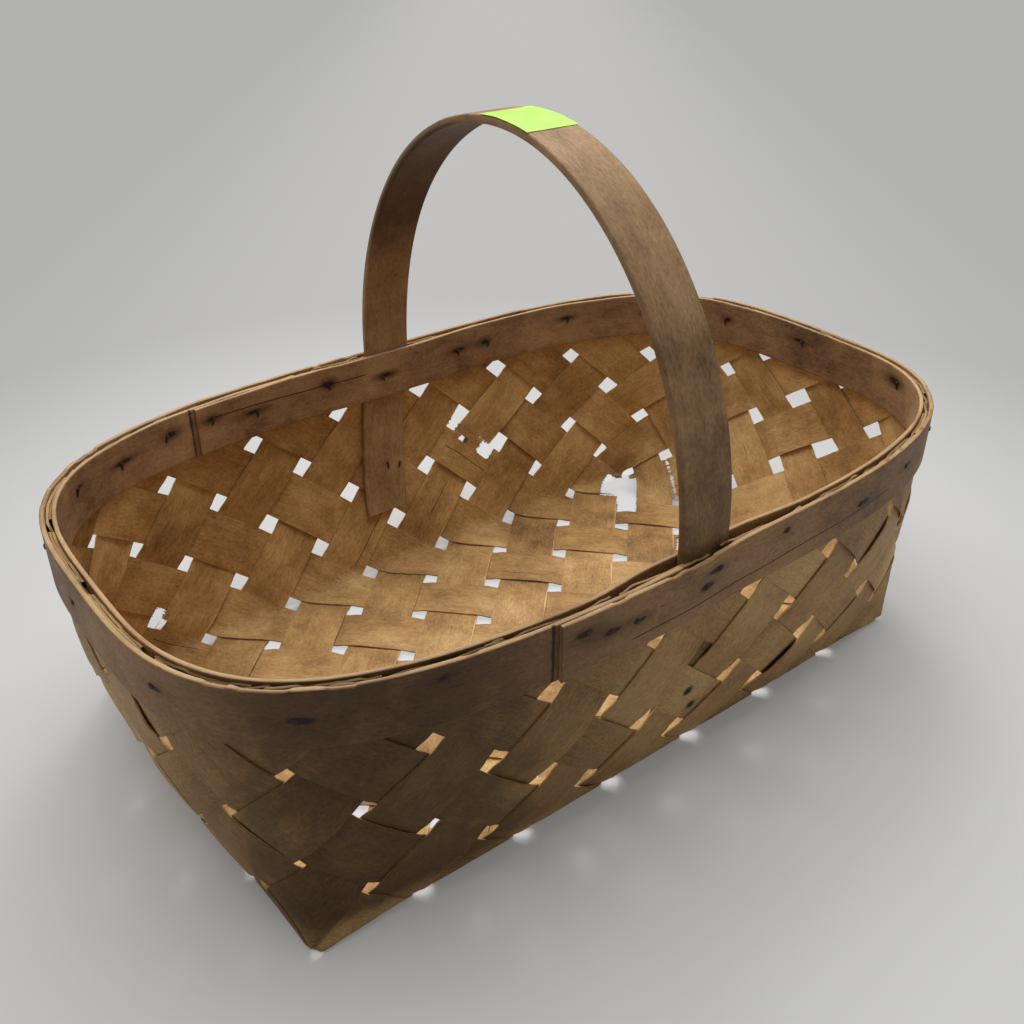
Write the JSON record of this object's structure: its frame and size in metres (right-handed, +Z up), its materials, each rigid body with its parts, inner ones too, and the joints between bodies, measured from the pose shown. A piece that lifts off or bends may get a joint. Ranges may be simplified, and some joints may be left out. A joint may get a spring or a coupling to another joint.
{
  "type": "woven market basket",
  "caption": "Oblong market basket plaited on the diagonal from flat wood splints, with a nailed double bentwood rim and a fixed bentwood bail handle.",
  "frame": {"origin": "middle of the rim, projected on to the surface that the basket stands on", "axes": "+X along the basket's length, +Y across it, away from the lap of the outer hoop, +Z up"},
  "size_m": [0.4636, 0.2838, 0.2934],
  "materials": {
    "splint_wood": "aged, unvarnished, warm brown",
    "hoop_wood": "aged, unvarnished, grey brown",
    "handle_wood": "aged, unvarnished, grey brown",
    "nail_iron": "dark, rusted",
    "sticker_paper": "matte fluorescent green paper"
  },
  "bodies": {
    "root": {"splint_a01": "splint_wood", "splint_a02": "splint_wood", "splint_a03": "splint_wood", "splint_a04": "splint_wood", "splint_a05": "splint_wood", "splint_a06": "splint_wood", "splint_a07": "splint_wood", "splint_a08": "splint_wood", "splint_a09": "splint_wood", "splint_a10": "splint_wood", "splint_a11": "splint_wood", "splint_b01": "splint_wood", "splint_b02": "splint_wood", "splint_b03": "splint_wood", "splint_b04": "splint_wood", "splint_b05": "splint_wood", "splint_b06": "splint_wood", "splint_b07": "splint_wood", "splint_b08": "splint_wood", "splint_b09": "splint_wood", "splint_b10": "splint_wood", "splint_b11": "splint_wood", "outer_hoop": "hoop_wood", "inner_hoop": "hoop_wood", "handle": "handle_wood", "rim_nails": "nail_iron", "handle_nails": "nail_iron", "price_sticker": "sticker_paper"}
  },
  "joints": []
}
